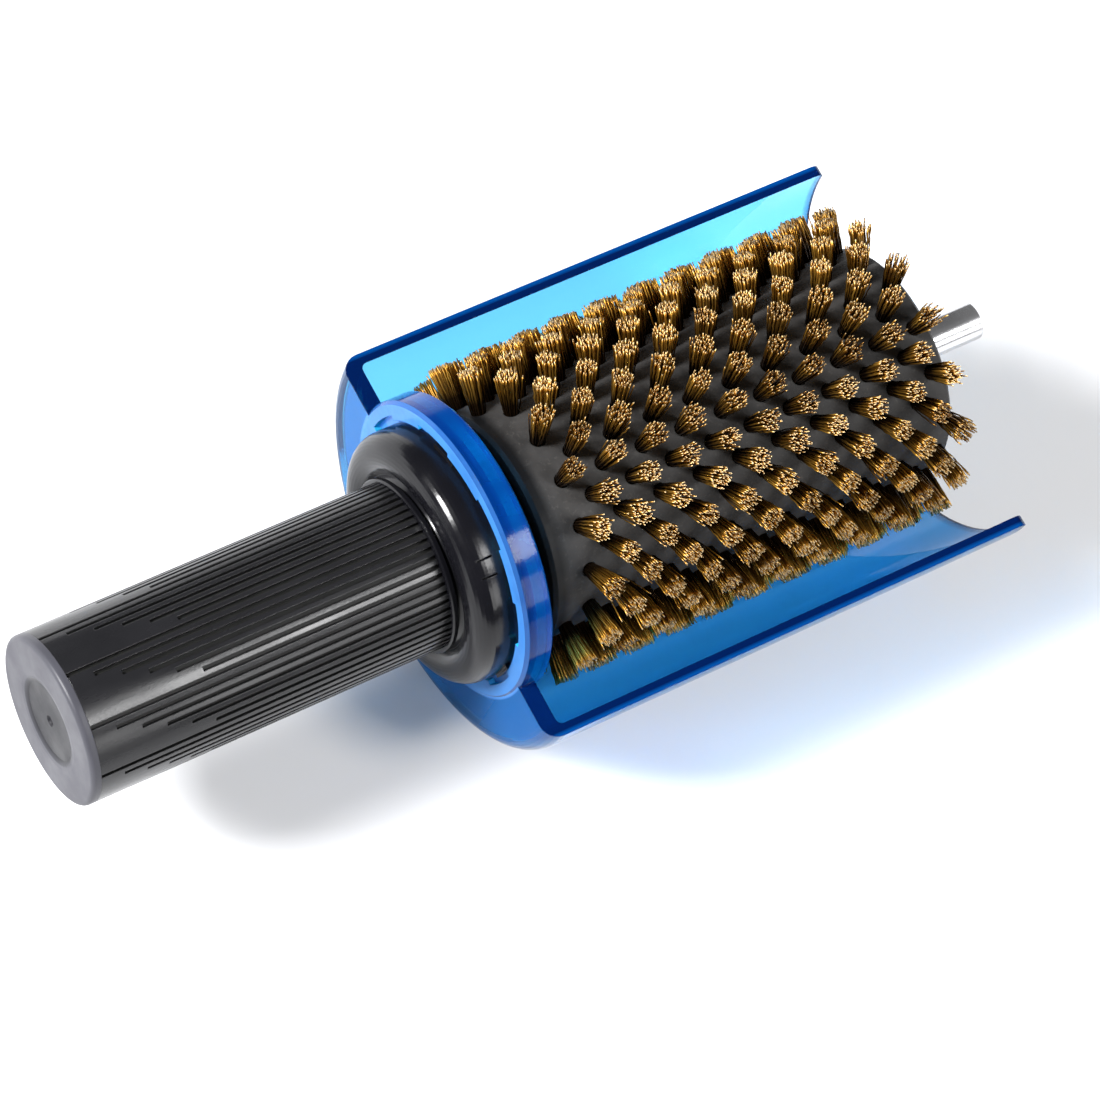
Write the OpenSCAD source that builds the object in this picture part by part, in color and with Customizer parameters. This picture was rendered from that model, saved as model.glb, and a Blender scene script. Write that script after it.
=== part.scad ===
// Hand-held rotary brush: a brass-tufted roller on a hexagonal drive shaft, which
// runs in a ribbed handle. A clear half-round guard turns on the handle's nose.
// Stations along the shaft are measured from the guard's outer end face, +X towards
// the drive end. The object lies on the guard, with its open side up, on z = 0.

/* [Handle] */
// Outer diameter of the ribbed grip
grip_d = 36; // [34:0.5:40]
// Length of the ribbed grip
grip_len = 79.2; // [70:0.1:100]
// Wall thickness of the grip tube
grip_wall = 3; // [2.5:0.5:4]
// Width of a grip groove
groove_w = 0.9; // [0.5:0.1:1.2]
// Depth of a grip groove
groove_depth = 0.8; // [0.3:0.1:0.9]
// Groups of grooves around the grip
groove_groups = 10; // [6:1:12]
// Grooves in one group
grooves_per_group = 6; // [4:1:7]
// How much further from the butt each groove of a group starts than the one before
groove_step = 5.1; // [0:0.1:7]
// Thickness of the butt cap's disc
butt_cap_t = 2; // [1.5:0.5:3]

/* [Guard] */
// Outer diameter of the guard
guard_d = 90; // [86:1:100]
// Length of the guard
guard_len = 120; // [116:1:130]
// Wall thickness of the guard's shell
guard_wall = 2.4; // [2:0.1:3]
// Thickness of the guard's end wall
end_wall = 3.8; // [3:0.1:4]
// Outer diameter of the collar around the nose
collar_d = 64.6; // [62:0.1:70]
// How far the collar reaches from the end face towards the brush
collar_len = 6; // [5.5:0.1:7]
// Width of the flat along the guard's underside, on which it lies
belly_w = 12; // [8:1:20]
// Click stops in one turn of the guard
click_stops = 24; // [12:4:36]

/* [Brush] */
// Diameter of the brush core
core_d = 50; // [48:1:52]
// Length of the brush core
core_len = 98; // [96:1:102]
// Diameter over the tips of the tufts
brush_d = 69; // [64:1:76]
// Rings of tufts along the core
tuft_rings = 20; // [16:1:20]
// Distance between neighbouring rings
ring_pitch = 4.78; // [4.6:0.01:4.8]
// Tufts in one full ring
tufts_per_ring = 16; // [12:1:16]
// Tufts left out of the first ring, which has a bare arc
bare_tufts = 5; // [0:1:8]
// Diameter of a tuft at its root
tuft_root_d = 3; // [2.4:0.1:3.2]
// Diameter of a tuft at its tip
tuft_tip_d = 4.8; // [3.6:0.1:5.2]

/* [Shaft] */
// Hexagonal shaft, across flats
hex_af = 10; // [9:0.5:11]
// Diameter of the round drive end
drive_d = 8.4; // [8:0.1:9]
// How far the drive end stands out of the brush core
drive_out = 24; // [20:1:30]

/* [Hidden] */
$fn = 96;

// Clearances
run_gap = 0.1;        // between pieces that move against each other, along the shaft
glue_gap = 0.05;      // round a piece that is pushed or screwed into another
part_gap = 0.01;      // hides the seam where a cutter leaves a solid

// Guard
guard_r = guard_d / 2;
guard_in_r = guard_r - guard_wall;
axis_z = sqrt(pow(guard_r, 2) - pow(belly_w / 2, 2));   // the shaft's height over the flat
collar_r = collar_d / 2;
collar_front = -0.4;  // the collar stands this far out of the end face
recess_r = 28.2;      // recess in the collar that the nose's rim turns in
recess_x = 1.0;       // floor of that recess
pivot_r = 24.06;      // bore of the end wall, which turns on the nose's boss
key_slots = 8;        // slots around the recess
key_slot_deg = 22;
key_slot_r = 29.2;
guard_corner = 4;     // outside corner between shell and end wall
guard_fillet = 1.4;   // inside corner between them
guard_tip = 0.8;      // rounding of the free end
free_corner_r = 3;    // round corners of the two walls at the free end

// Nose
nose_x = -9.1;        // where the grip ends and the nose begins
lip_r = 18.9;
lip_len = 1.2;
bead_x = -3.6;        // centre of the round bead
bead_r = 22.7;        // its distance from the shaft
bead_size = 4.6;      // its own radius
rim_x = recess_x - run_gap;
boss_r = pivot_r - 0.06;
boss_x = end_wall + run_gap;
nose_tabs = 3;
tab_r = recess_r - 0.2;
tab_deg = 14;
hex_pass_r = 7.5;     // hole that clears the hexagonal shaft
retainer_r = 27.4;
retainer_t = 2.5;
screw_count = 3;
screw_r = 1.5;
screw_ring_r = 17;
screw_len = 8;
head_r = 2.8;
head_t = 1.7;
driver_af = 2;

// Detent in the nose's rim
detent_ring_r = 25.4;
ball_r = 1.25;
ball_pocket_r = 1.3;
ball_pocket_len = 5.4;
detent_wire_r = 0.17;
detent_coil_r = 0.95;
detent_turns = 5;

// Bearings: 8 x 22 x 7 deep groove
bearing_id = 8;
bearing_od = 22;
bearing_w = 7;
race_in_r = 6.3;      // outside of the inner race
race_out_r = 8.7;     // inside of the outer race
ball_ring_r = 7.5;
bearing_ball_r = 1.984;
ball_groove_r = 2.04;
bearing_balls = 7;
front_bearing_x = -14;
rear_bearing_x = -83;
wave_gap = 0.8;

// Shaft
hex_start = front_bearing_x + bearing_w;
journal_r = bearing_id / 2 - 0.02;
clip_t = 1;
shaft_start = rear_bearing_x - clip_t - 1.2;
hex_corner_r = hex_af / 2 / cos(30);
core_x = 11;
core_end = core_x + core_len;
hex_end = core_end;
drive_r = drive_d / 2;
shaft_end = core_end + drive_out;
drive_chamfer = 0.8;
stop_clip_x = 7.8;
thrust_t = 2;
thrust_r = 21;
friction_x = core_end - 12;
friction_cord_r = 0.9;
friction_out_r = hex_af / 2 + 0.06;   // drags on the flats of the brush's bore
friction_seat_r = friction_out_r - 2 * friction_cord_r + 0.1;

// Handle
grip_r = grip_d / 2;
grip_in_r = grip_r - grip_wall;
butt_x = nose_x - grip_len;
cap_x = butt_x - butt_cap_t;
seat_r = bearing_od / 2;
groove_phase = -7.8;
circlip_x = rear_bearing_x - clip_t - glue_gap;
cap_spigot_len = 2.6;
dish_r = 9.5;

// Brush
core_r = core_d / 2;
hex_bore_r = (hex_af / 2 + 0.1) / cos(30);
core_edge = 0.8;
tuft_hole_r = 1.6;
tuft_hole_depth = 5.5;
anchor_t = 0.5;
anchor_h = 0.8;
first_ring_x = core_x + 3.6;
tuft_phase = -4.9;    // the first ring's turn from straight up
bare_centre = 1;      // index of the tuft in the middle of the bare arc
tip_r = brush_d / 2;

// Frame: the origin is under the middle of the whole object, on the surface it lies on
mid_x = (cap_x + shaft_end) / 2;
module place() translate([-mid_x, 0, axis_z]) children();

// Turns a profile of [radius, station] points about the shaft's axis
module turned(deg = 360) rotate([0, 90, 0]) rotate([0, 0, -deg / 2])
    rotate_extrude(angle = deg) children();
module turned_profile(points, deg = 360) turned(deg) polygon(points);

// A plain ring from one station to another
module ring(r_in, r_out, x0, x1) translate([x0, 0, 0]) rotate([0, 90, 0]) difference() {
    cylinder(r = r_out, h = x1 - x0);
    if (r_in > 0) translate([0, 0, -1]) cylinder(r = r_in, h = x1 - x0 + 2);
}

// A rod along the shaft's axis
module rod(r, x0, x1, sides = $fn) translate([x0, 0, 0]) rotate([0, 90, 0])
    cylinder(r = r, h = x1 - x0, $fn = sides);

// Copies children at even angles around the shaft's axis
module around(count, phase = 0) for (i = [0 : count - 1]) rotate([phase + i * 360 / count, 0, 0])
    children();

// Points of an arc in [radius, station], from angle a0 to a1; 0 is outwards, 90 is towards +X
function arc_points(r, x, size, a0, a1, steps) =
    [for (i = [0 : steps]) let (a = a0 + (a1 - a0) * i / steps) [r + size * cos(a), x + size * sin(a)]];

// ---- Handle ----

module handle_body() color([0.07, 0.07, 0.075]) place() difference() {
    turned_profile([
        [grip_in_r, nose_x], [grip_r, nose_x], [grip_r, butt_x],
        [grip_in_r + 0.5, butt_x], [grip_in_r + 0.5, butt_x + cap_spigot_len + 0.2],
        [seat_r, butt_x + cap_spigot_len + 0.2], [seat_r, circlip_x],
        [seat_r + 0.6, circlip_x], [seat_r + 0.6, circlip_x + clip_t + glue_gap],
        [seat_r, circlip_x + clip_t + glue_gap],
        [seat_r, rear_bearing_x + bearing_w + wave_gap],
        [race_out_r + 0.2, rear_bearing_x + bearing_w + wave_gap],
        [race_out_r + 0.2, rear_bearing_x + bearing_w + wave_gap + 3],
        [grip_in_r, rear_bearing_x + bearing_w + wave_gap + 7]
    ]);
    for (g = [0 : groove_groups - 1], i = [0 : grooves_per_group - 1])
        rotate([groove_phase + (g + i / grooves_per_group) * 360 / groove_groups, 0, 0])
            translate([butt_x + (i == 0 ? -1 : i * groove_step), -groove_w / 2, grip_r - groove_depth])
                cube([grip_len + 2, groove_w, groove_depth + 1]);
}

// The butt cap has a shallow dish with a soft lip and a small centre mark
module butt_cap() color([0.09, 0.09, 0.1]) place() turned_profile(concat(
    [[0, cap_x + 1.0], [0.9, cap_x + 1.0], [1.3, cap_x + 0.55], [dish_r - 1, cap_x + 0.55]],
    [[dish_r, cap_x + 0.1], [dish_r + 1, cap_x]],
    arc_points(grip_r - 1, cap_x + 1, 1, -90, 0, 4),
    [[grip_r, butt_x], [grip_in_r + 0.45, butt_x], [grip_in_r + 0.45, butt_x + cap_spigot_len]],
    [[grip_in_r - 1.5, butt_x + cap_spigot_len], [grip_in_r - 1.5, butt_x], [0, butt_x]]
));

// ---- Nose ----

module nose_profile() polygon(concat(
    [[seat_r, front_bearing_x - 1.5], [seat_r + 1, front_bearing_x - 8], [grip_in_r - glue_gap, front_bearing_x - 8]],
    [[grip_in_r - glue_gap, nose_x], [lip_r - 0.3, nose_x], [lip_r, nose_x + 0.3]],
    [[lip_r, nose_x + lip_len], [lip_r - 0.9, nose_x + lip_len + 0.4]],
    arc_points(bead_r, bead_x, bead_size, -144, 0, 14),
    [[bead_r + bead_size, rim_x], [boss_r, rim_x], [boss_r, boss_x], [hex_pass_r, boss_x]],
    [[hex_pass_r, hex_start], [seat_r, hex_start]]
));

module nose_flange() color([0.06, 0.06, 0.065]) place() difference() {
    union() {
        turned() nose_profile();
        // tabs on the rim, which pass through the guard's key slots
        around(nose_tabs, 35) turned_profile([
            [bead_r + bead_size - 1, rim_x - 1.4], [tab_r, rim_x - 1.4], [tab_r, rim_x],
            [bead_r + bead_size - 1, rim_x]
        ], tab_deg);
    }
    around(screw_count) translate([0, 0, screw_ring_r])
        rod(screw_r, boss_x + retainer_t - screw_len - 0.5, boss_x + 1);
    translate([0, 0, detent_ring_r]) rod(ball_pocket_r, rim_x - ball_pocket_len, rim_x + 1);
    // two slits beside a moulded snap
    for (a = [24, 32]) rotate([a, 0, 0]) translate([bead_x - 1.6, -0.2, bead_r + bead_size - 1.2])
        cube([3.4, 0.4, 2]);
}

// Ring behind the guard's end wall, which holds the guard on the nose
module guard_retainer() color([0.05, 0.05, 0.055]) place() difference() {
    turned_profile([
        [hex_pass_r, boss_x], [retainer_r, boss_x], [retainer_r, boss_x + retainer_t - 0.5],
        [retainer_r - 0.5, boss_x + retainer_t], [hex_pass_r, boss_x + retainer_t]
    ]);
    around(screw_count) translate([0, 0, screw_ring_r]) {
        rod(screw_r + 0.1, boss_x - 1, boss_x + retainer_t + 1);
        rod(head_r + 0.1, boss_x + retainer_t - head_t, boss_x + retainer_t + 1);
    }
}

module retainer_screws() color([0.7, 0.7, 0.72]) place()
    around(screw_count) translate([0, 0, screw_ring_r]) difference() {
        union() {
            rod(screw_r - glue_gap, boss_x + retainer_t - screw_len, boss_x + retainer_t - head_t + 0.2);
            rod(head_r, boss_x + retainer_t - head_t, boss_x + retainer_t - 0.1);
        }
        rod(driver_af / 2 / cos(30), boss_x + retainer_t - 1.1, boss_x + retainer_t + 1, 6);
    }

// ---- Guard ----

module guard_shell_profile() polygon(concat(
    [[collar_r - 1, 0]],
    arc_points(guard_r - guard_corner, guard_corner, guard_corner, -90, 0, 6),
    arc_points(guard_r - guard_tip, guard_len - guard_tip, guard_tip, 0, 90, 3),
    arc_points(guard_in_r + guard_tip, guard_len - guard_tip, guard_tip, 90, 180, 3),
    [for (i = [0 : 4]) let (a = 90 * i / 4)
        [guard_in_r - guard_fillet * (1 - cos(a)), end_wall + guard_fillet * (1 - sin(a))]],
    [[collar_r - 1, end_wall]]
));

module guard_collar_profile() polygon([
    [pivot_r, recess_x], [recess_r, recess_x], [recess_r, collar_front],
    [collar_r - 0.7, collar_front], [collar_r, collar_front + 0.7],
    [collar_r, collar_len - 0.5], [collar_r - 0.5, collar_len],
    [recess_r, collar_len], [recess_r, end_wall], [pivot_r, end_wall]
]);

// What is cut away to round the walls' free corners
module free_corner_cut() translate([guard_len - free_corner_r, 0, -free_corner_r]) difference() {
    translate([0, -guard_r - 1, 0]) cube([free_corner_r + 1, guard_d + 2, free_corner_r + 1]);
    rotate([90, 0, 0]) cylinder(r = free_corner_r, h = guard_d + 4, center = true);
}

module guard() color([0.05, 0.35, 0.85, 0.5]) place() difference() {
    union() {
        turned(180) guard_shell_profile();
        turned() guard_collar_profile();
    }
    around(key_slots, 12) turned_profile([
        [recess_r - 1, collar_front - 1], [key_slot_r, collar_front - 1],
        [key_slot_r, recess_x], [recess_r - 1, recess_x]
    ], key_slot_deg);
    around(click_stops) translate([recess_x - 0.9, 0, detent_ring_r]) sphere(r = ball_r, $fn = 48);
    translate([-1, -guard_r, -axis_z - guard_r]) cube([guard_len + 2, guard_d, guard_r]);
    free_corner_cut();
}

// ---- Detent ----

module detent_ball() color([0.75, 0.75, 0.77]) place()
    translate([rim_x + 0.05 - ball_r, 0, detent_ring_r]) sphere(r = ball_r, $fn = 48);

// A swept wire: rings of points along a helix, joined into one closed solid
wire_sides = 8;
wire_steps = 12 * detent_turns;
coil_len = ball_pocket_len - 2 * ball_r - 2 * detent_wire_r - 0.15;
coil_x0 = rim_x - ball_pocket_len + detent_wire_r + 0.05;
function coil_centre(i) = let (a = 360 * detent_turns * i / wire_steps)
    [coil_x0 + coil_len * i / wire_steps, detent_coil_r * cos(a), detent_coil_r * sin(a)];
function coil_ring(i) = let (a = 360 * detent_turns * i / wire_steps, c = coil_centre(i))
    [for (k = [0 : wire_sides - 1]) let (b = 360 * k / wire_sides)
        [c[0] + detent_wire_r * sin(b),
         c[1] + detent_wire_r * cos(b) * cos(a),
         c[2] + detent_wire_r * cos(b) * sin(a)]];
module detent_spring() color([0.7, 0.7, 0.72]) place() translate([0, 0, detent_ring_r]) polyhedron(
    points = [for (i = [0 : wire_steps]) each coil_ring(i)],
    faces = concat(
        [[for (k = [0 : wire_sides - 1]) k]],
        [for (i = [0 : wire_steps - 1], k = [0 : wire_sides - 1]) let (
            a = i * wire_sides + k, b = i * wire_sides + (k + 1) % wire_sides)
            [a, a + wire_sides, b + wire_sides, b]],
        [[for (k = [wire_sides - 1 : -1 : 0]) wire_steps * wire_sides + k]]
    ));

// ---- Bearings, with x the face nearer the butt ----

module groove_cut(x) turned() translate([ball_ring_r, x + bearing_w / 2]) circle(r = ball_groove_r, $fn = 48);

module outer_race(x) color([0.72, 0.72, 0.74]) place() difference() {
    ring(race_out_r, bearing_od / 2, x, x + bearing_w);
    groove_cut(x);
}

module inner_race(x) color([0.72, 0.72, 0.74]) place() difference() {
    ring(bearing_id / 2, race_in_r, x, x + bearing_w);
    groove_cut(x);
}

module balls(x) color([0.8, 0.8, 0.82]) place() around(bearing_balls)
    translate([x + bearing_w / 2, 0, ball_ring_r]) sphere(r = bearing_ball_r, $fn = 48);

module cage(x) color([0.75, 0.62, 0.35]) place() difference() {
    ring(6.95, 8.05, x + 0.9, x + bearing_w - 0.9);
    around(bearing_balls) translate([x + bearing_w / 2, 0, ball_ring_r]) sphere(r = 2.06, $fn = 48);
}

module seals(x) color([0.12, 0.12, 0.12]) place() for (s = [0.15, bearing_w - 0.65])
    ring(race_in_r + 0.06, race_out_r, x + s, x + s + 0.5);

module front_bearing_outer_race() outer_race(front_bearing_x);
module front_bearing_inner_race() inner_race(front_bearing_x);
module front_bearing_balls() balls(front_bearing_x);
module front_bearing_cage() cage(front_bearing_x);
module front_bearing_seals() seals(front_bearing_x);
module rear_bearing_outer_race() outer_race(rear_bearing_x);
module rear_bearing_inner_race() inner_race(rear_bearing_x);
module rear_bearing_balls() balls(rear_bearing_x);
module rear_bearing_cage() cage(rear_bearing_x);
module rear_bearing_seals() seals(rear_bearing_x);

module bearing_spacer() color([0.75, 0.75, 0.77]) place()
    ring(journal_r + glue_gap, race_in_r - 0.5, rear_bearing_x + bearing_w, front_bearing_x);

module wave_washer() color([0.6, 0.6, 0.62]) place()
    ring(race_out_r + 0.4, seat_r - 0.15, rear_bearing_x + bearing_w + 0.1, rear_bearing_x + bearing_w + 0.6);

// Open spring ring: a ring with a gap of gap_deg at the top
module open_ring(r_in, r_out, x0, x1, gap_deg) turned_profile(
    [[r_in, x0], [r_out, x0], [r_out, x1], [r_in, x1]], 360 - gap_deg);

module bore_circlip() color([0.35, 0.35, 0.37]) place()
    open_ring(seat_r - 1.8, seat_r + 0.6, circlip_x + glue_gap / 2, circlip_x + glue_gap / 2 + clip_t, 50);

module shaft_circlip() color([0.35, 0.35, 0.37]) place()
    open_ring(journal_r - 0.4, journal_r + 2, rear_bearing_x - clip_t, rear_bearing_x, 80);

// ---- Shaft ----

module drive_shaft() color([0.78, 0.78, 0.8]) place() difference() {
    union() {
        rod(journal_r, shaft_start, hex_start + part_gap);
        intersection() {
            rod(hex_corner_r, hex_start, hex_end, 6);
            // turned ends break the hexagon's corners
            turned_profile([
                [0, hex_start], [hex_corner_r - 0.6, hex_start], [hex_corner_r, hex_start + 0.6],
                [hex_corner_r, hex_end - 0.6], [hex_corner_r - 0.6, hex_end], [0, hex_end]
            ]);
        }
        turned_profile([
            [0, hex_end - part_gap], [drive_r, hex_end - part_gap], [drive_r, shaft_end - drive_chamfer],
            [drive_r - drive_chamfer, shaft_end], [0, shaft_end]
        ]);
    }
    ring(journal_r - 0.4, journal_r + 1, rear_bearing_x - clip_t, rear_bearing_x);
    ring(journal_r + 0.4, hex_corner_r + 1, stop_clip_x, stop_clip_x + clip_t);
    ring(friction_seat_r, hex_corner_r + 1, friction_x - friction_cord_r, friction_x + friction_cord_r);
}

module stop_clip() color([0.35, 0.35, 0.37]) place()
    open_ring(journal_r + 0.4, journal_r + 5, stop_clip_x, stop_clip_x + clip_t, 80);

module thrust_washer() color([0.05, 0.05, 0.055]) place() difference() {
    ring(0, thrust_r, stop_clip_x + clip_t + 0.1, stop_clip_x + clip_t + 0.1 + thrust_t);
    rod(hex_bore_r, stop_clip_x, core_x, 6);
}

// Rubber ring in a groove of the shaft, which drags on the brush's bore
module friction_ring() color([0.1, 0.1, 0.1]) place() turned() intersection() {
    translate([friction_out_r - friction_cord_r, friction_x]) circle(r = friction_cord_r, $fn = 32);
    translate([friction_seat_r, friction_x - friction_cord_r]) square(2 * friction_cord_r);
}

// ---- Brush ----

// Puts children, drawn along +Z from the shaft's axis, at every tuft's place
function ring_phase(k) = tuft_phase - (k % 2) * 180 / tufts_per_ring;
function is_bare(k, i) = k == 0
    && (i - bare_centre + tufts_per_ring + (bare_tufts - 1) / 2) % tufts_per_ring < bare_tufts;
module at_tufts() for (k = [0 : tuft_rings - 1], i = [0 : tufts_per_ring - 1])
    if (!is_bare(k, i)) translate([first_ring_x + k * ring_pitch, 0, 0])
        rotate([ring_phase(k) + i * 360 / tufts_per_ring, 0, 0]) children();

module brush_core() color([0.16, 0.16, 0.17]) place() difference() {
    turned_profile([
        [3, core_x], [core_r - core_edge, core_x], [core_r, core_x + core_edge],
        [core_r, core_end - core_edge], [core_r - core_edge, core_end], [3, core_end]
    ]);
    rod(hex_bore_r, core_x - 1, core_end + 1, 6);
    at_tufts() translate([0, 0, core_r - tuft_hole_depth]) cylinder(r = tuft_hole_r, h = tuft_hole_depth + 1);
}

module tuft_anchors() color([0.7, 0.6, 0.3]) place() at_tufts()
    translate([-tuft_root_d / 2, -anchor_t / 2, core_r - tuft_hole_depth])
        cube([tuft_root_d, anchor_t, anchor_h]);

module brass_tufts() color([0.72, 0.53, 0.22]) place() at_tufts()
    translate([0, 0, core_r - tuft_hole_depth + anchor_h]) rotate_extrude($fn = 32) polygon([
        [0, 0], [tuft_root_d / 2, 0], [tuft_root_d / 2, tuft_hole_depth - anchor_h],
        [tuft_tip_d / 2, tip_r - core_r + tuft_hole_depth - anchor_h],
        [0, tip_r - core_r + tuft_hole_depth - anchor_h]
    ]);

handle_body();
butt_cap();
nose_flange();
guard_retainer();
retainer_screws();
guard();
detent_ball();
detent_spring();
front_bearing_outer_race();
front_bearing_inner_race();
front_bearing_balls();
front_bearing_cage();
front_bearing_seals();
rear_bearing_outer_race();
rear_bearing_inner_race();
rear_bearing_balls();
rear_bearing_cage();
rear_bearing_seals();
bearing_spacer();
wave_washer();
bore_circlip();
shaft_circlip();
drive_shaft();
stop_clip();
thrust_washer();
friction_ring();
brush_core();
tuft_anchors();
brass_tufts();
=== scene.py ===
"""A drill-driven rotary brush on a pale floor: materials, wire tufts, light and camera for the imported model.

Lengths are in millimetres up to the point where they meet Blender, which works in metres. Only the floor and
the lamps are in metres throughout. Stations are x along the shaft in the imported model's frame, and angles
around the shaft are from straight up.
"""

import math

import bpy
import numpy as np
from mathutils import Matrix, Vector


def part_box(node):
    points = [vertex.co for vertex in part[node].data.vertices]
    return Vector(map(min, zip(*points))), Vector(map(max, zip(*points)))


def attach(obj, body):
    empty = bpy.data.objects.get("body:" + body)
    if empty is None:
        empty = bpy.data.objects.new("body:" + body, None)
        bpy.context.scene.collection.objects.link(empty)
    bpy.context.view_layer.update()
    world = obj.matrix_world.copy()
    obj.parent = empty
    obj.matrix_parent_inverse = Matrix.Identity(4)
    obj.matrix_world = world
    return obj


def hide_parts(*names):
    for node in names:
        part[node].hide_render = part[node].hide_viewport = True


MM = 0.001

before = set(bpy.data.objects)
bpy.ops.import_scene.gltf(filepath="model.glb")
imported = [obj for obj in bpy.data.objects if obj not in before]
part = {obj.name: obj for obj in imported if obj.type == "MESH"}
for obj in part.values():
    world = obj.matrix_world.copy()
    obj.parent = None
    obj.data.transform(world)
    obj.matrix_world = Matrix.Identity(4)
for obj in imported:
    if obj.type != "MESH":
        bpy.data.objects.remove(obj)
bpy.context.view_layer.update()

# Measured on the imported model
AXIS_Z = (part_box("brush_core")[0].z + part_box("brush_core")[1].z) / MM / 2
CORE_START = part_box("brush_core")[0].x / MM
CORE_R = (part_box("brush_core")[1].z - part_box("brush_core")[0].z) / MM / 2
GRIP_R = (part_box("handle_body")[1].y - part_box("handle_body")[0].y) / MM / 2
GUARD_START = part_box("guard")[0].x / MM
GUARD_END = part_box("guard")[1].x / MM
GUARD_R = (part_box("guard")[1].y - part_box("guard")[0].y) / MM / 2

# Refraction of the guard's clear plastic, below a real one's so that its reflections stay faint
GUARD_IOR = 1.25

# Places on the guard and the butt cap, from the part's source
END_LEN = 4.2  # from the guard's front to the inside of its end wall
COLLAR_R = 32.3
RECESS_R = 29.4  # just past the key slots
DISH_R = 9.5

# Tufts, which stand where the part's source has them
RINGS = 20
RING_PITCH = 4.78
FIRST_RING = CORE_START + 3.6
PER_RING = 16
TUFT_PHASE = -4.9
BARE_TUFTS = 5
BARE_CENTRE = 1
BRUSH_R = 34.5
TUFT_ROOT_R = 1.5
TUFT_TIP_R = 2.5
RINGS_IN_PIECE = 4

# Wires of a tuft
WIRES = 60
WIRE_R = 0.17
WIRE_SIDES = 3
WIRE_STEPS = 7
FLARE = 0.7  # under 1, so that the wires spread soon after they leave the roller
ROOT_DEPTH = 0.4  # how far inside the roller the wires start
CRIMP = 0.1  # how far a wire swings to each side
CRIMP_LENGTH = 3.1
TIP_SCATTER = 0.2
TUFT_LEAN = 0.16
LENGTH_SCATTER = 0.22
DOME = 0.25  # how much shorter the outermost wires are
SPLAY = (0.86, 1.08)  # least and most, as a share of TUFT_TIP_R
STRAY_SHARE = 0.05
STRAY_REACH = (1.15, 1.5)  # how many times as far out as its place a stray wire's tip is
TONE_SCATTER = 0.26
TUFT_TONE_SCATTER = 0.1
SEED = 20

# How round the edges of plastic pieces look
PLASTIC_EDGE = 0.25

# Camera: the point it looks at, the way back from there to it, how far, how it is rolled, and its lens
AIM = Vector((-0.6, -8.9, AXIS_Z)) * MM
CAMERA_BACK = Vector((-0.39466, -0.21231, 0.89396)).normalized()
CAMERA_DISTANCE = 976 * MM
CAMERA_ROLL = math.radians(35.24)
LENS = 157.3

# Floor and lamps, in metres. The gap keeps the floor clear of the guard's flat underside
FLOOR_SIZE = 6.0
FLOOR_GAP = 0.0002
LAMP_DISTANCE = 2.2

# Light from all round, how bright it is where glossy surfaces mirror it, and how bright it looks itself
WORLD_LIGHT = 0.20
WORLD_IN_GLOSS = 0.10
WORLD_SEEN = 0.97


# ---- Shader nodes ----


def node(tree, kind, inputs=None, **settings):
    """A new shader node. inputs gives each socket's value, or the output that feeds it."""
    made = tree.nodes.new("ShaderNode" + kind)
    for name, value in settings.items():
        setattr(made, name, value)
    for name, value in (inputs or {}).items():
        if isinstance(value, bpy.types.NodeSocket):
            tree.links.new(value, made.inputs[name])
        else:
            made.inputs[name].default_value = value
    return made


def math_node(tree, operation, *values):
    return node(tree, "Math", dict(enumerate(values)), operation=operation).outputs[0]


def product(tree, first, *others):
    for value in others:
        first = math_node(tree, "MULTIPLY", first, value)
    return first


def largest(tree, first, *others):
    for value in others:
        first = math_node(tree, "MAXIMUM", first, value)
    return first


def axes(tree, vector):
    """x, y and z of a vector."""
    return node(tree, "SeparateXYZ", {0: vector}).outputs


def places(tree, stretch=(1, 1, 1)):
    """The piece's own coordinates, stretched."""
    coordinates = node(tree, "TexCoord").outputs["Object"]
    return node(tree, "Mapping", {"Vector": coordinates, "Scale": stretch}).outputs[0]


def noise(tree, scale, detail=3, roughness=0.55, stretch=(1, 1, 1)):
    inputs = {"Vector": places(tree, stretch), "Scale": scale, "Detail": detail, "Roughness": roughness}
    return node(tree, "TexNoise", inputs).outputs["Fac"]


def between(tree, value, low, high, start=0.35, end=0.65):
    """value mapped so that start gives low and end gives high."""
    inputs = {"Value": value, "From Min": start, "From Max": end, "To Min": low, "To Max": high}
    return node(tree, "MapRange", inputs).outputs[0]


def blended(tree, share, a, b):
    """Colour a where share is 0 and b where it is 1."""
    a, b = (c if isinstance(c, bpy.types.NodeSocket) else (*c, 1) for c in (a, b))
    return node(tree, "Mix", {0: share, 6: a, 7: b}, data_type="RGBA").outputs[2]


def bumped(tree, height, depth_mm, normal=None):
    inputs = {"Height": height, "Distance": depth_mm * MM, "Strength": 1.0}
    if normal:
        inputs["Normal"] = normal
    return node(tree, "Bump", inputs).outputs[0]


def rounded_edges(tree, radius_mm):
    return node(tree, "Bevel", {"Radius": radius_mm * MM}, samples=4).outputs[0]


def radius_from_shaft(tree):
    """Distance from the shaft's axis, in millimetres."""
    _, y, z = axes(tree, places(tree))
    height = math_node(tree, "SUBTRACT", z, AXIS_Z * MM)
    squares = (math_node(tree, "POWER", side, 2.0) for side in (y, height))
    return product(tree, math_node(tree, "SQRT", math_node(tree, "ADD", *squares)), 1 / MM)


def new_material(name, **sockets):
    """A material with one Principled shader, whose plain sockets are set by name."""
    made = bpy.data.materials.new(name)
    made.use_nodes = True
    tree = made.node_tree
    shader = tree.nodes["Principled BSDF"]
    for socket, value in sockets.items():
        shader.inputs[socket.replace("_", " ")].default_value = value
    return made, tree, shader


def feed(tree, shader, **sources):
    for socket, source in sources.items():
        tree.links.new(source, shader.inputs[socket.replace("_", " ")])


# ---- Materials ----


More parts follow.
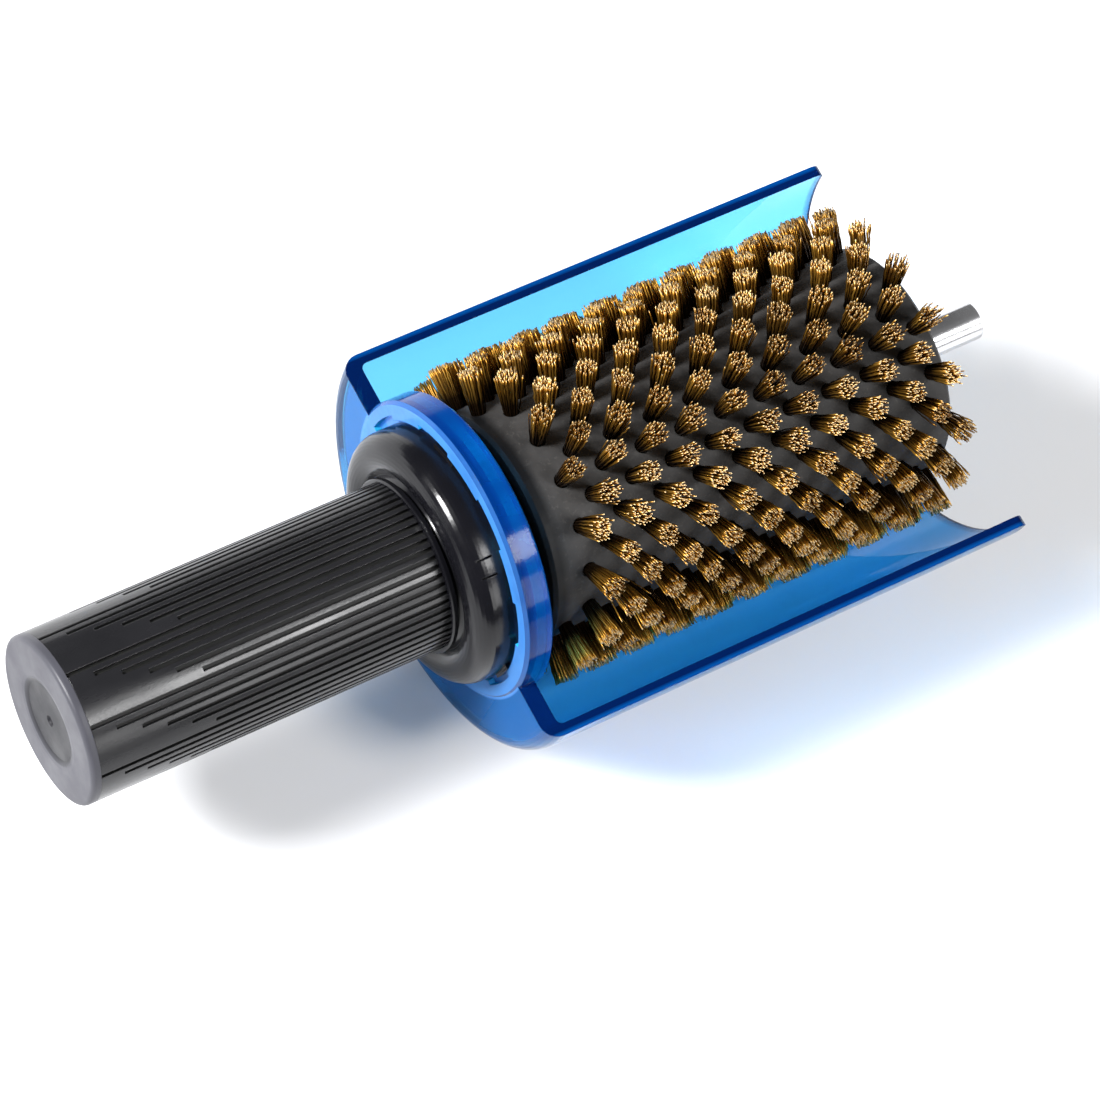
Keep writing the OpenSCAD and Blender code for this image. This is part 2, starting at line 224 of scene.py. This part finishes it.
def moulded_plastic(name, dark, light, rough, specular=0.5):
    """Black moulded plastic: uneven tone and gloss, a fine grain, and edges that catch the light."""
    made, tree, shader = new_material(name, IOR=1.5, Specular_IOR_Level=specular)
    smear = noise(tree, 132, detail=5, stretch=(0.35, 1, 1))
    feed(
        tree,
        shader,
        Base_Color=blended(tree, noise(tree, 55, detail=4), dark, light),
        Roughness=between(tree, smear, *rough),
        Normal=bumped(tree, noise(tree, 1400, detail=2), 0.012, rounded_edges(tree, PLASTIC_EDGE)),
    )
    return made


def ribbed_grip():
    """The grip's plastic: glossier where hands polish its outside, dull and dusty down in the grooves."""
    made, tree, shader = new_material("ribbed_grip", IOR=1.5, Specular_IOR_Level=0.32)
    outside = between(tree, radius_from_shaft(tree), 0.0, 1.0, GRIP_R - 0.5, GRIP_R - 0.05)
    tone = blended(tree, noise(tree, 70, detail=4), (0.007, 0.007, 0.008), (0.015, 0.015, 0.017))
    dust = blended(tree, noise(tree, 260, detail=4), (0.004, 0.004, 0.004), (0.016, 0.016, 0.015))
    smear = between(tree, noise(tree, 150, detail=5, stretch=(0.25, 1, 1)), 0.18, 0.32)
    feed(
        tree,
        shader,
        Base_Color=blended(tree, outside, dust, tone),
        Roughness=between(tree, outside, 0.55, smear, 0.0, 1.0),
        Normal=bumped(tree, noise(tree, 1500, detail=2), 0.014, rounded_edges(tree, PLASTIC_EDGE)),
    )
    return made


def dished_butt():
    """The butt cap's black plastic, with painted light: the rim round the dish is a lit grey, and the dish
    keeps the plastic's own near black.
    """
    made, tree, shader = new_material("butt_plastic", IOR=1.5, Specular_IOR_Level=0.25)
    in_dish = between(tree, radius_from_shaft(tree), 1.0, 0.0, DISH_R - 0.8, DISH_R + 0.4)
    # Painted light: the rim's grey stands in for the light falling on the cap's face.
    rim = blended(tree, noise(tree, 55, detail=4), (0.040, 0.040, 0.049), (0.068, 0.068, 0.082))
    dish = blended(tree, noise(tree, 120, detail=4), (0.006, 0.006, 0.008), (0.018, 0.018, 0.023))
    feed(
        tree,
        shader,
        Base_Color=blended(tree, in_dish, rim, dish),
        Roughness=between(tree, noise(tree, 130, detail=5), 0.36, 0.5),
        Normal=bumped(tree, noise(tree, 1400, detail=2), 0.012, rounded_edges(tree, PLASTIC_EDGE)),
    )
    return made


def guard_regions(tree):
    """Masks, 1 inside and 0 outside, for the parts of the guard that look different from its shell."""
    x, _, z = axes(tree, places(tree))
    facing = axes(tree, node(tree, "TexCoord").outputs["Normal"])
    radius = radius_from_shaft(tree)
    end_inside = GUARD_START + END_LEN
    above = between(tree, z, 0.0, 1.0, (AXIS_Z - 3.2) * MM, (AXIS_Z - 2.8) * MM)
    level = between(tree, facing[2], 0.0, 1.0, 0.6, 0.9)
    below = between(tree, z, 1.0, 0.0, (AXIS_Z + 0.3) * MM, (AXIS_Z + 0.6) * MM)
    return {
        "end": between(tree, x, 1.0, 0.0, (end_inside - 0.3) * MM, (end_inside + 0.3) * MM),
        "outer corner": between(tree, radius, 0.0, 1.0, GUARD_R - 3.5, GUARD_R - 0.5),
        "collar": between(tree, radius, 1.0, 0.0, COLLAR_R, COLLAR_R + 0.4),
        "recess": between(tree, radius, 1.0, 0.0, RECESS_R - 0.2, RECESS_R),
        "facing the handle": between(tree, facing[0], 1.0, 0.0, -0.9, -0.6),
        "cut": product(tree, above, level, below),
        "cut's rim": between(tree, radius, 0.0, 1.0, GUARD_R - 1.1, GUARD_R - 0.5),
        "free end": between(tree, x, 0.0, 1.0, (GUARD_END - 1.6) * MM, (GUARD_END - 0.5) * MM),
    }


def clear_blue():
    """Clear plastic, with painted shade: its tint deepens towards the -Y side. The end wall and the collar are
    cloudier than the shell, the collar carries painted light and shade by the way its faces turn, bright in
    the recess round the nose, and the cut edges are a deep navy."""
    made, tree, shader = new_material(
        "clear_blue", Transmission_Weight=1.0, IOR=GUARD_IOR, Specular_IOR_Level=0.3
    )
    region = guard_regions(tree)
    # Painted shade: the shell's tint is deeper towards -Y, darker on that side because of how the light falls.
    across = between(tree, axes(tree, places(tree))[1], 0.0, 1.0, -GUARD_R * MM, GUARD_R * MM)
    shell = blended(tree, across, (0.004, 0.22, 0.60), (0.14, 0.54, 0.90))
    smear = noise(tree, 60, detail=5, stretch=(0.4, 1, 1))
    normal = bumped(tree, noise(tree, 35, detail=1), 0.02, rounded_edges(tree, 0.3))
    feed(
        tree,
        shader,
        Base_Color=blended(tree, region["end"], shell, (0.012, 0.36, 0.68)),
        Roughness=between(tree, smear, 0.015, 0.06),
        Normal=normal,
    )

    end_blue = blended(tree, region["outer corner"], (0.0, 0.085, 0.28), (0.0, 0.035, 0.14))
    # Painted light and shade on the collar, by the way each face turns: a painted highlight of bright cyan on
    # the recess wall round the nose, a lit blue on the face towards the handle, and a shaded navy on its
    # outside.
    side_blue = blended(tree, region["recess"], (0.0, 0.022, 0.14), (0.03, 0.50, 0.85))
    collar_blue = blended(tree, region["facing the handle"], side_blue, (0.06, 0.22, 0.56))
    cut_blue = blended(tree, region["cut's rim"], (0.0, 0.008, 0.062), (0.0, 0.045, 0.21))
    wall_blue = blended(tree, region["collar"], end_blue, collar_blue)
    at_edge = largest(tree, region["cut"], region["free end"])
    cloudy = node(
        tree,
        "BsdfPrincipled",
        {
            "Base Color": blended(tree, at_edge, wall_blue, cut_blue),
            "Normal": normal,
            "Roughness": 0.12,
            "IOR": GUARD_IOR,
            "Specular IOR Level": 0.35,
        },
    )
    at_corner = between(tree, region["outer corner"], 0.3, 0.65, 0.0, 1.0)
    # Painted shade: towards -Y the end wall takes more of the dark cloudy blue.
    at_near_side = between(tree, across, 0.7, 0.3, 0.15, 0.6)
    cloudy_share = largest(
        tree,
        product(tree, region["end"], largest(tree, at_corner, at_near_side)),
        product(tree, region["collar"], between(tree, smear, 0.55, 0.9)),
        product(tree, region["cut"], 0.88),
        product(tree, region["free end"], 0.5),
    )
    seen = node(tree, "MixShader", {0: cloudy_share, 1: shader.outputs[0], 2: cloudy.outputs[0]})
    for_lamps = node(tree, "BsdfTransparent", {"Color": (0.29, 0.43, 0.56, 1)})
    is_shadow = node(tree, "LightPath").outputs["Is Shadow Ray"]
    mixed = node(tree, "MixShader", {0: is_shadow, 1: seen.outputs[0], 2: for_lamps.outputs[0]})
    tree.links.new(mixed.outputs[0], tree.nodes["Material Output"].inputs["Surface"])
    return made


def turned_steel(name, colour, rough, metallic=1.0):
    """Steel with turning marks around the shaft."""
    made, tree, shader = new_material(name, Metallic=metallic)
    marks = noise(tree, 900, detail=3, stretch=(1, 0.03, 0.03))
    stains = noise(tree, 90, detail=5)
    darker = tuple(0.72 * c for c in colour)
    feed(
        tree,
        shader,
        Base_Color=blended(tree, between(tree, stains, 0.0, 1.0, 0.45, 0.75), colour, darker),
        Roughness=between(tree, stains, *rough),
        Normal=bumped(tree, marks, 0.004, rounded_edges(tree, 0.2)),
    )
    return made


def dusty_core():
    """The roller: matt black plastic, greyed by brushing dust, with painted shade that makes the rim next to
    the guard near black.
    """
    made, tree, shader = new_material("dusty_core", IOR=1.35)
    cloud = noise(tree, 90, detail=5, roughness=0.6)
    specks = between(tree, noise(tree, 900, detail=3, roughness=0.7), 0.0, 0.4, 0.56, 0.74)
    dust = between(tree, cloud, 0.0, 1.0, 0.3, 0.7)
    body = blended(tree, dust, (0.014, 0.014, 0.0145), (0.048, 0.046, 0.045))
    dusty = blended(tree, specks, body, (0.09, 0.086, 0.08))
    x = axes(tree, places(tree))[0]
    # Painted shade: the first few millimetres next to the guard are near black, for the shade in the gap by
    # the collar.
    painted_shade_by_guard = between(tree, x, 0.0, 1.0, (CORE_START + 2.2) * MM, (CORE_START + 4.2) * MM)
    feed(
        tree,
        shader,
        Base_Color=blended(tree, painted_shade_by_guard, (0.002, 0.002, 0.0025), dusty),
        Roughness=between(tree, cloud, 0.55, 0.72),
        Normal=bumped(tree, noise(tree, 700, detail=4), 0.03, rounded_edges(tree, 0.3)),
    )
    return made


def brass_wire():
    """Wires that differ in tone, with painted shade that darkens them towards the roller, and pale at their
    cut ends.
    """
    made, tree, shader = new_material("brass_wire", Metallic=0.85)
    own = node(tree, "Attribute", attribute_name="tone").outputs["Fac"]
    along = node(tree, "Attribute", attribute_name="along").outputs["Fac"]
    gold = blended(tree, own, (0.24, 0.095, 0.006), (0.84, 0.46, 0.07))
    tarnish = between(tree, noise(tree, 160, detail=4), 0.0, 0.75, 0.5, 0.75)
    body = blended(tree, tarnish, gold, (0.22, 0.13, 0.04))
    # Painted shade: the wires darken towards the roller, for the shade deep inside each tuft.
    shaded = blended(tree, between(tree, along, 0.0, 1.0, 0.3, 0.95), (0.026, 0.012, 0.003), body)
    cut_end = blended(tree, own, (0.10, 0.055, 0.02), (0.68, 0.52, 0.29))
    feed(
        tree,
        shader,
        Base_Color=blended(tree, between(tree, along, 0.0, 1.0, 0.93, 1.0), shaded, cut_end),
        Roughness=between(tree, own, 0.28, 0.5, 0.0, 1.0),
    )
    return made


def soft_rubber():
    made, tree, shader = new_material("soft_rubber", IOR=1.5)
    tone = blended(tree, noise(tree, 200, detail=4), (0.012, 0.012, 0.012), (0.03, 0.03, 0.03))
    feed(
        tree,
        shader,
        Base_Color=tone,
        Roughness=between(tree, noise(tree, 120), 0.6, 0.8),
        Normal=bumped(tree, noise(tree, 1200), 0.01),
    )
    return made


def pressed_brass():
    made, tree, shader = new_material("pressed_brass", Metallic=1.0)
    tone = blended(tree, noise(tree, 220, detail=4), (0.5, 0.34, 0.12), (0.74, 0.55, 0.25))
    feed(
        tree,
        shader,
        Base_Color=tone,
        Roughness=between(tree, noise(tree, 160), 0.3, 0.45),
        Normal=bumped(tree, noise(tree, 900), 0.006, rounded_edges(tree, 0.1)),
    )
    return made


def paint(material, *names):
    for name in names:
        part[name].data.materials.clear()
        part[name].data.materials.append(material)


def paint_parts():
    paint(ribbed_grip(), "handle_body")
    paint(dished_butt(), "butt_cap")
    nose_tones = (0.002, 0.002, 0.003), (0.006, 0.006, 0.008)
    paint(moulded_plastic("nose_plastic", *nose_tones, (0.13, 0.26), specular=0.27), "nose_flange")
    inner = moulded_plastic("inner_plastic", (0.01, 0.01, 0.01), (0.02, 0.02, 0.02), (0.5, 0.65))
    paint(inner, "guard_retainer", "thrust_washer")
    paint(clear_blue(), "guard")
    paint(dusty_core(), "brush_core")
    paint(turned_steel("drive_steel", (0.80, 0.80, 0.82), (0.12, 0.25), metallic=0.88), "drive_shaft")
    bright = turned_steel("bearing_steel", (0.8, 0.8, 0.82), (0.1, 0.2))
    for place in ("front", "rear"):
        paint(bright, *(f"{place}_bearing_{piece}" for piece in ("outer_race", "inner_race", "balls")))
    paint(bright, "detent_ball")
    zinc = turned_steel("zinc_steel", (0.62, 0.62, 0.64), (0.25, 0.4))
    paint(zinc, "retainer_screws", "bearing_spacer")
    spring = turned_steel("spring_steel", (0.3, 0.3, 0.32), (0.28, 0.42))
    paint(spring, "detent_spring", "wave_washer", "bore_circlip", "shaft_circlip", "stop_clip")
    paint(pressed_brass(), "front_bearing_cage", "rear_bearing_cage", "tuft_anchors")
    paint(soft_rubber(), "front_bearing_seals", "rear_bearing_seals", "friction_ring")


# ---- Tufts ----


def tuft_places(rings):
    """(station, angle) of each tuft in these rings."""
    half = BARE_TUFTS // 2
    bare = [(BARE_CENTRE + step) % PER_RING for step in range(-half, half + 1)]
    for ring in rings:
        for index in range(PER_RING):
            if ring or index not in bare:
                turn = TUFT_PHASE + (index - (ring % 2) / 2) * 360 / PER_RING
                yield FIRST_RING + ring * RING_PITCH, math.radians(turn)


def tuft_wires(rng):
    """One tuft that stands on the origin and points up: its wires' middle lines, and each point's share of
    the way along its wire."""
    index = np.arange(WIRES) + 0.5
    size = np.sqrt(index / WIRES)
    turn = index * math.pi * (3 - math.sqrt(5)) + rng.uniform(0, 2 * math.pi)
    spot = size[:, None] * np.stack([np.cos(turn), np.sin(turn)], 1)
    root = spot * (TUFT_ROOT_R - WIRE_R)
    splay = TUFT_TIP_R * rng.uniform(*SPLAY, 2)
    tip = spot * splay + rng.normal(0, TIP_SCATTER, (WIRES, 2)) + rng.normal(0, TUFT_LEAN, 2)
    stray = rng.random(WIRES) < STRAY_SHARE
    tip[stray] *= rng.uniform(*STRAY_REACH, (stray.sum(), 1))
    length = BRUSH_R - CORE_R + rng.normal(0, LENGTH_SCATTER, WIRES) - DOME * size**2
    along = np.linspace(0, 1, WIRE_STEPS + 1)[None, :]
    flare = along**FLARE
    middle = root[:, None] * (1 - flare[..., None]) + tip[:, None] * flare[..., None]
    wave = along * length[:, None] / CRIMP_LENGTH * 2 * math.pi + rng.uniform(0, 2 * math.pi, (WIRES, 1))
    swing = rng.uniform(0, 2 * math.pi, (WIRES, 1))
    offset = CRIMP * np.sin(wave) * np.minimum(1, along * 3)
    middle = middle + np.stack([offset * np.cos(swing), offset * np.sin(swing)], 2)
    height = along * length[:, None] - ROOT_DEPTH * (1 - along)
    return np.concatenate([middle, height[..., None]], 2), along.repeat(WIRES, 0)


def wire_mesh(rings, seed):
    """Vertices, faces and per-vertex tone and place along the wire, for all tufts of these rings."""
    rng = np.random.default_rng(seed)
    corner = np.arange(WIRE_SIDES) * 2 * math.pi / WIRE_SIDES
    points, tones, alongs = [], [], []
    for station, turn in tuft_places(rings):
        middle, along = tuft_wires(rng)
        twist = rng.uniform(0, 2 * math.pi, WIRES)[:, None] + corner[None, :]
        circle = WIRE_R * np.stack([np.cos(twist), np.sin(twist), np.zeros_like(twist)], 2)
        skin = middle[:, :, None, :] + circle[:, None, :, :]
        x = station + skin[..., 0]
        out = CORE_R + skin[..., 2]
        side = skin[..., 1]
        y = -out * math.sin(turn) + side * math.cos(turn)
        z = AXIS_Z + out * math.cos(turn) + side * math.sin(turn)
        points.append(np.stack([x, y, z], 3).reshape(-1, 3))
        tone = np.clip(rng.normal(0.5, TONE_SCATTER, WIRES) + rng.normal(0, TUFT_TONE_SCATTER), 0, 1)
        tones.append(np.broadcast_to(tone[:, None, None], skin.shape[:3]).reshape(-1))
        alongs.append(np.broadcast_to(along[:, :, None], skin.shape[:3]).reshape(-1))
    points = np.concatenate(points) * MM
    wires = len(points) // ((WIRE_STEPS + 1) * WIRE_SIDES)
    first = np.arange(wires)[:, None, None] * (WIRE_STEPS + 1) * WIRE_SIDES
    step = np.arange(WIRE_STEPS)[None, :, None] * WIRE_SIDES
    here = np.arange(WIRE_SIDES)[None, None, :]
    after = (here + 1) % WIRE_SIDES
    low = first + step
    quads = np.stack([low + here, low + after, low + WIRE_SIDES + after, low + WIRE_SIDES + here], 3)
    caps = (first + WIRE_STEPS * WIRE_SIDES + here).reshape(-1, WIRE_SIDES)
    return points, quads.reshape(-1, 4), caps, np.concatenate(tones), np.concatenate(alongs)


def add_wires():
    wire = brass_wire()
    for piece, start in enumerate(range(0, RINGS, RINGS_IN_PIECE)):
        rings = range(start, min(start + RINGS_IN_PIECE, RINGS))
        points, quads, caps, tones, alongs = wire_mesh(rings, SEED + piece)
        mesh = bpy.data.meshes.new(f"brass_wires_{piece + 1}")
        mesh.from_pydata(points.tolist(), [], quads.tolist() + caps.tolist())
        for name, values in (("tone", tones), ("along", alongs)):
            mesh.attributes.new(name, "FLOAT", "POINT").data.foreach_set("value", values.astype(np.float32))
        mesh.polygons.foreach_set("use_smooth", [True] * len(quads) + [False] * len(caps))
        mesh.materials.append(wire)
        tufts = bpy.data.objects.new(mesh.name, mesh)
        bpy.context.scene.collection.objects.link(tufts)
        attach(tufts, "brush")
        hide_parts("brass_tufts")


# ---- Studio ----


def add_floor():
    bpy.ops.mesh.primitive_plane_add(size=FLOOR_SIZE, location=(0, 0, -FLOOR_GAP))
    floor = bpy.context.object
    floor.name = "floor"
    paper = (0.87, 0.875, 0.89, 1)
    made, _, _ = new_material("floor_paper", Base_Color=paper, Roughness=0.9, Specular_IOR_Level=0.2)
    floor.data.materials.append(made)


def add_lamp(name, direction, size, power):
    """A square soft box in this direction from the camera's aim, turned to face it."""
    lamp = bpy.data.lights.new(name, "AREA")
    lamp.size = size
    lamp.energy = power
    held = bpy.data.objects.new(name, lamp)
    bpy.context.scene.collection.objects.link(held)
    direction = Vector(direction).normalized()
    held.location = AIM + direction * LAMP_DISTANCE
    held.rotation_euler = direction.to_track_quat("Z", "Y").to_euler()


def studio_world():
    """White where the camera sees it, also through clear plastic, dimmer as a light and in reflections."""
    world = bpy.data.worlds.new("studio")
    world.use_nodes = True
    tree = world.node_tree
    path = node(tree, "LightPath").outputs
    seen = largest(tree, path["Is Camera Ray"], path["Is Transmission Ray"])
    lights = between(tree, path["Is Glossy Ray"], WORLD_LIGHT, WORLD_IN_GLOSS, 0.0, 1.0)
    strength = largest(tree, lights, product(tree, seen, WORLD_SEEN))
    tree.links.new(strength, tree.nodes["Background"].inputs["Strength"])
    tree.nodes["Background"].inputs["Color"].default_value = (1, 1, 1, 1)
    return world


def add_studio():
    add_floor()
    add_lamp("key_softbox", (-1.13, 0.49, 1.0), 0.6, 118)
    add_lamp("side_softbox", (0.42, -0.60, 0.9), 0.6, 30)
    add_lamp("low_fill", (0.4, -0.95, 0.4), 0.8, 12)
    bpy.context.scene.world = studio_world()
    bpy.context.scene.view_settings.view_transform = "Standard"


def add_camera():
    level = Vector((0, 0, 1)).cross(CAMERA_BACK).normalized()
    upright = CAMERA_BACK.cross(level)
    right = level * math.cos(CAMERA_ROLL) + upright * math.sin(CAMERA_ROLL)
    up = CAMERA_BACK.cross(right)
    camera = bpy.data.objects.new("camera", bpy.data.cameras.new("camera"))
    bpy.context.scene.collection.objects.link(camera)
    turned = Matrix((right, up, CAMERA_BACK)).transposed().to_4x4()
    camera.matrix_world = Matrix.Translation(AIM + CAMERA_BACK * CAMERA_DISTANCE) @ turned
    camera.data.lens = LENS
    camera.data.clip_start = 0.05
    bpy.context.scene.camera = camera


add_camera()
paint_parts()
add_wires()
add_studio()
